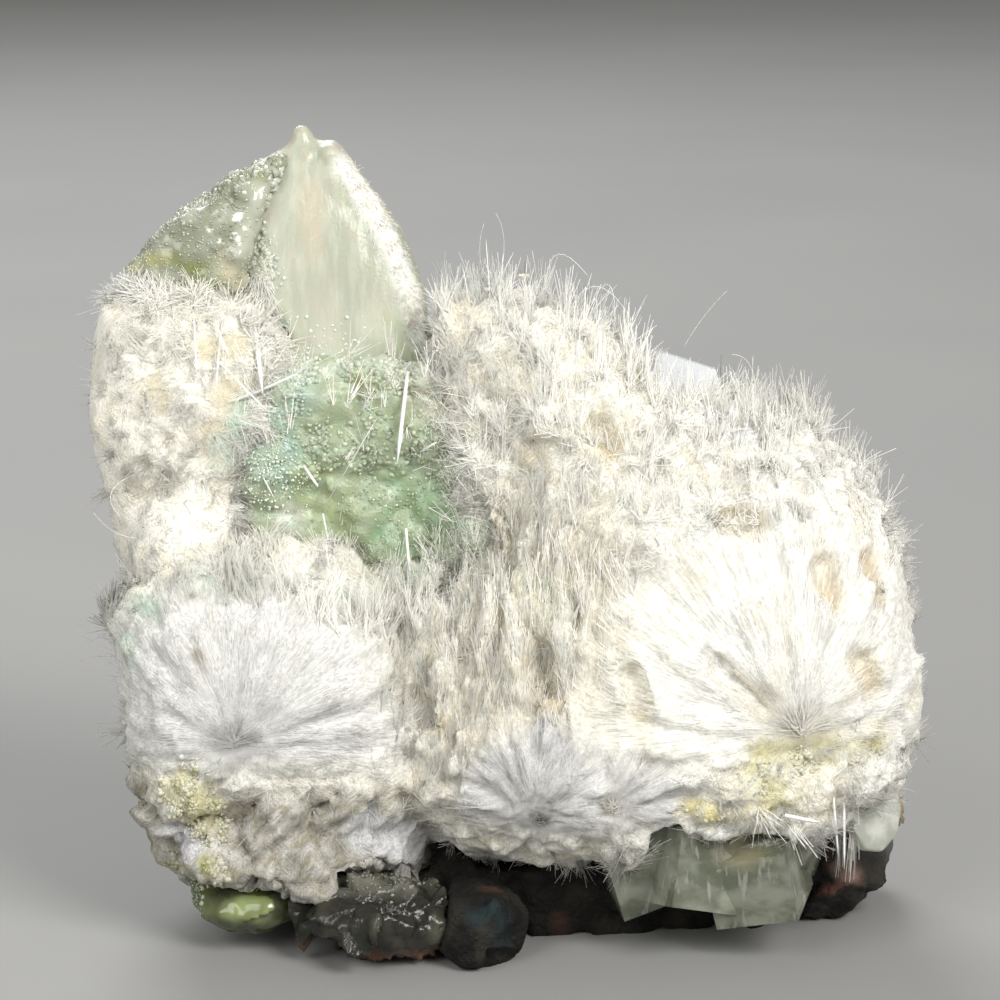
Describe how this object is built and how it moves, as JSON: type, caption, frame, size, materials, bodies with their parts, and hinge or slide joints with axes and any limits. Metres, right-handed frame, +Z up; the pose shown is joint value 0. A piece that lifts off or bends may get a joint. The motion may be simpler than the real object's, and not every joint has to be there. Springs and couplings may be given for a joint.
{
  "type": "okenite mineral specimen",
  "caption": "Radiating white okenite with a green prehnite pocket, a milky chalcedony fin and clear blades on a dark basalt base.",
  "frame": {"origin": "middle of the footprint box, on the surface the specimen rests on", "axes": "+Z up, -Y towards the viewer of the broken okenite faces, +X to the viewer's right"},
  "size_m": [0.0458, 0.024, 0.0441],
  "materials": {
    "okenite": "silky fibrous white",
    "okenite_cream": "fine furry cream",
    "milky_chalcedony": "waxy and slightly translucent",
    "druse": "sparkling small crystals",
    "prehnite": "glassy translucent green",
    "olive_prehnite": "glassy translucent olive",
    "grey_crystal": "glassy translucent grey green",
    "grey_chalcedony": "waxy translucent dark grey",
    "clear_crystal": "clear colourless blades",
    "basalt": "rough broken rock"
  },
  "bodies": {
    "root": {"okenite_mass": "okenite", "okenite_nest": "okenite_cream", "chalcedony_fin": "milky_chalcedony", "drusy_crust": "druse", "prehnite_pocket": "prehnite", "prehnite_nodule": "olive_prehnite", "foot_crystals": "grey_crystal", "foot_chalcedony": "grey_chalcedony", "rim_blade": "grey_crystal", "clear_blade_left": "clear_crystal", "clear_blade_right": "clear_crystal", "basalt_matrix": "basalt"}
  },
  "joints": []
}
